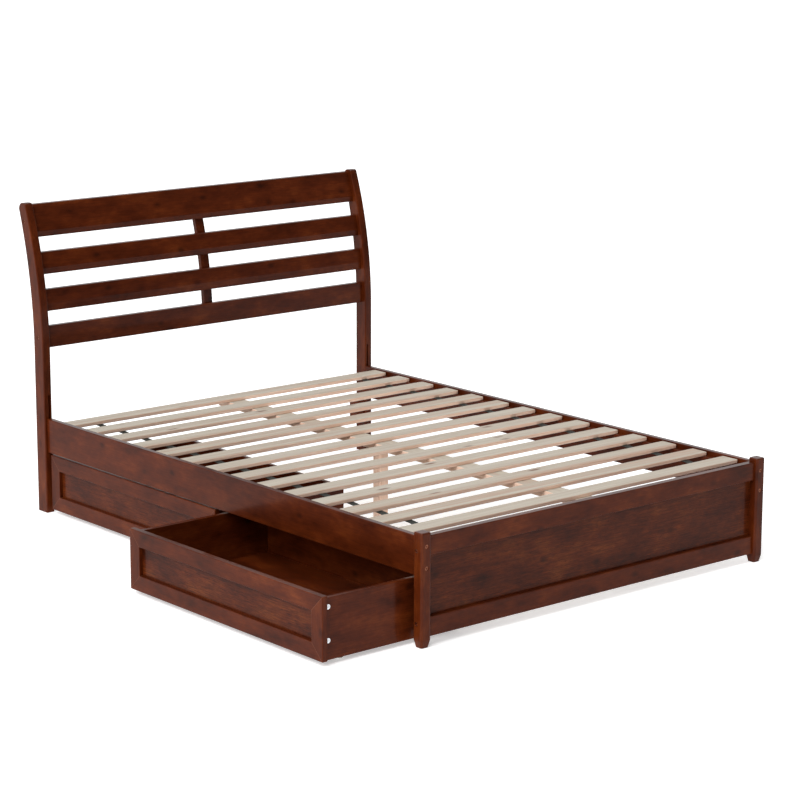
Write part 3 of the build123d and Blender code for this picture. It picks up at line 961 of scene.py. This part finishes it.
@dataclass
class Studio:
    """The floor, the lights and the camera around the bed."""

    floor_side: float = 160.0
    floor_drop: float = 0.5 * MM
    camera_place: Triple = (-5.2614, -6.3225, 2.2616)
    camera_heading: float = 40.205
    camera_dip: float = 12.431
    camera_roll: float = 0.166
    camera_lens: float = 115.77
    camera_sensor: float = 36.0
    pale_side: Triple = (0.62, 0.74, 0.25)
    pale_limits: Pair = (-0.2, 0.7)
    dim: str = "#545454"
    pale: str = "#f4f4f4"
    surround: float = 0.8
    seen_boost: float = 0.6
    sun_toward: Triple = (0.64, 0.25, -0.73)
    sun_power: float = 2.9
    sun_spread: float = 45
    soft_lights: tuple[SoftLight, ...] = (
        SoftLight("side_left", (-6.5, 0.5, 2.4), 70),
        SoftLight("front_foot", (-0.5, -7.0, 2.6), 8),
    )

    def floor(self) -> None:
        """Lay the pale floor under the bed."""
        deselect()
        bpy.ops.mesh.primitive_plane_add(size=self.floor_side, location=(0, 0, -self.floor_drop))
        plane = bpy.context.object
        plane.name = "studio_floor"
        dress(plane, PaleFloor().build())

    def sun(self) -> None:
        """Add one broad, even light from far away."""
        data = bpy.data.lights.new("broad_overhead", "SUN")
        data.energy = self.sun_power
        data.angle = math.radians(self.sun_spread)
        lamp = bpy.data.objects.new("broad_overhead", data)
        lamp.rotation_euler = Vector(self.sun_toward).to_track_quat("-Z", "Y").to_euler()
        bpy.context.scene.collection.objects.link(lamp)

    def sky(self) -> None:
        """Set the surround: pale behind the head and the far side, dim on the drawers' side.

        Where the surround is seen directly it is plain white.
        """
        world = bpy.data.worlds.new("studio_surround")
        bpy.context.scene.world = world
        world.use_nodes = True
        tree = world.node_tree
        background = tree.nodes["Background"]
        toward = add_node(tree, "ShaderNodeTexCoord").outputs["Generated"]
        links = {0: toward, 1: self.pale_side}
        dot = add_node(tree, "ShaderNodeVectorMath", links, operation="DOT_PRODUCT")
        seen = add_node(tree, "ShaderNodeLightPath").outputs["Is Camera Ray"]
        paleness = stretch(tree, *self.pale_limits, dot.outputs["Value"])
        share = maths(tree, "MAXIMUM", paleness, seen)
        colour = ramp(tree, share, ((0.0, self.dim), (1.0, self.pale)))
        tree.links.new(colour, background.inputs["Color"])
        boost = maths(tree, "MULTIPLY", seen, self.seen_boost)
        strength = maths(tree, "ADD", boost, self.surround)
        tree.links.new(strength, background.inputs["Strength"])

    def camera(self) -> None:
        """Stand the camera at the foot, on the drawers' side."""
        heading, dip = math.radians(self.camera_heading), math.radians(self.camera_dip)
        roll = math.radians(self.camera_roll)
        east, north = math.sin(heading), math.cos(heading)
        ahead = Vector((east * math.cos(dip), north * math.cos(dip), -math.sin(dip)))
        level = Vector((north, -east, 0))
        upward = level.cross(ahead)
        right = math.cos(roll) * level + math.sin(roll) * upward
        above = math.cos(roll) * upward - math.sin(roll) * level
        data = bpy.data.cameras.new("camera")
        data.lens = self.camera_lens
        data.sensor_width = self.camera_sensor
        camera = bpy.data.objects.new("camera", data)
        turn = Matrix((right, above, -ahead)).transposed().to_4x4()
        camera.matrix_world = Matrix.Translation(Vector(self.camera_place)) @ turn
        bpy.context.scene.collection.objects.link(camera)
        bpy.context.scene.camera = camera

    def build(self) -> None:
        """Set up floor, surround, lights and camera."""
        self.floor()
        self.sky()
        self.sun()
        for soft_light in self.soft_lights:
            soft_light.hang()
        self.camera()
        view = bpy.context.scene.view_settings
        view.view_transform = "Standard"
        view.look = "None"
        log.info("studio")


@dataclass
class Bed:
    """Every rigid piece of the bed, by the finish it has."""

    nodes: dict[str, bpy.types.Object]

    def slat_names(self) -> list[str]:
        """List the slats.

        Returns:
            The slats' nodes, from the head.
        """
        slats = (name for name in self.nodes if name.startswith("slat_"))
        return sorted(name for name in slats if name[-2:].isdigit())

    def finish_of(self, node: str) -> str:
        """Name the finish of a node.

        Args:
            node: the node's name.

        Returns:
            The finish's name in the finishes of the bed.
        """
        own = {
            "frame_bolts": "bolt",
            "rail_hook_plates": "plate",
            "slat_webbing": "webbing",
            "centre_board": "raw_along",
            "centre_leg": "raw_up",
            "footboard_panel": "veneer_across",
            "corner_blocks": "stain_up",
        }
        if node in own:
            return own[node]
        if node in self.slat_names():
            return "raw_across"
        if "housings" in node:
            return "plate"
        if "wheel" in node:
            return "nylon"
        if "cam_locks" in node:
            return "zinc"
        if node.endswith("front_frame"):
            return node
        if node.endswith("front_panel"):
            return "veneer_along"
        if "post" in node or "stile" in node:
            return "stain_up"
        if node.endswith(("side_head", "side_foot")) or "headboard" in node or "footboard" in node:
            return "stain_across"
        return "stain_along"

    def finishes(self) -> dict[str, bpy.types.Material]:
        """Build every finish once.

        Returns:
            The materials by name.
        """
        open_pore = {
            "line_strength": 0.50,
            "bump": 0.30,
            "roughness": 0.42,
            "coat": 0.13,
            "open_pores": 0.55,
            "body": "#59240b",
            "light": "#6f3613",
        }
        made = {
            "stain_up": StainedWood("walnut_stained_post", Grain.UP),
            "stain_across": StainedWood("walnut_stained_rail", Grain.ACROSS, 3.1),
            "stain_along": StainedWood("walnut_stained_side", Grain.ALONG, 5.7),
            "veneer_across": StainedWood("walnut_stained_panel", Grain.ACROSS, 8.2, **open_pore),
            "veneer_along": StainedWood("walnut_stained_front_panel", Grain.ALONG, 9.4, **open_pore),
            "raw_across": BareWood("planed_softwood_slat", Grain.ACROSS),
            "raw_along": BareWood("planed_softwood_board", Grain.ALONG),
            "raw_up": BareWood("planed_softwood_leg", Grain.UP),
            "webbing": Webbing(),
            "bolt": Metal("bronzed_steel", "#6d4030", "#a06a52", 0.36),
            "plate": Metal("blackened_steel", "#2b2b2d", "#46464a", 0.45),
            "zinc": Metal("die_cast_zinc", "#c6c7ca", "#e4e5e8", 0.34),
            "nylon": MouldedNylon(),
        }
        for drawer in ("head_drawer", "foot_drawer"):
            low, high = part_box(f"{drawer}_front_frame")
            mitre = MitreFrame((low.y, low.z), (high.y, high.z))
            name = f"walnut_stained_{drawer}_front"
            made[f"{drawer}_front_frame"] = StainedWood(name, Grain.MITRED, 6.3, mitre=mitre)
        return {name: finish.build() for name, finish in made.items()}

    def build(self) -> None:
        """Dress every node, and add the webbing and its staples."""
        materials = self.finishes()
        for name, piece in self.nodes.items():
            dress(piece, materials[self.finish_of(name)])
            log.info("%s: %s", name, piece.data.materials[0].name)
        SlatWebbing().build(materials["webbing"], materials["plate"], self.slat_names())


def main() -> None:
    """Build the bed and the studio."""
    logging.basicConfig(level=logging.INFO, format="%(name)s: %(message)s")
    Bed(frame["nodes"]).build()
    Studio().build()


if __name__ == "__main__":
    main()
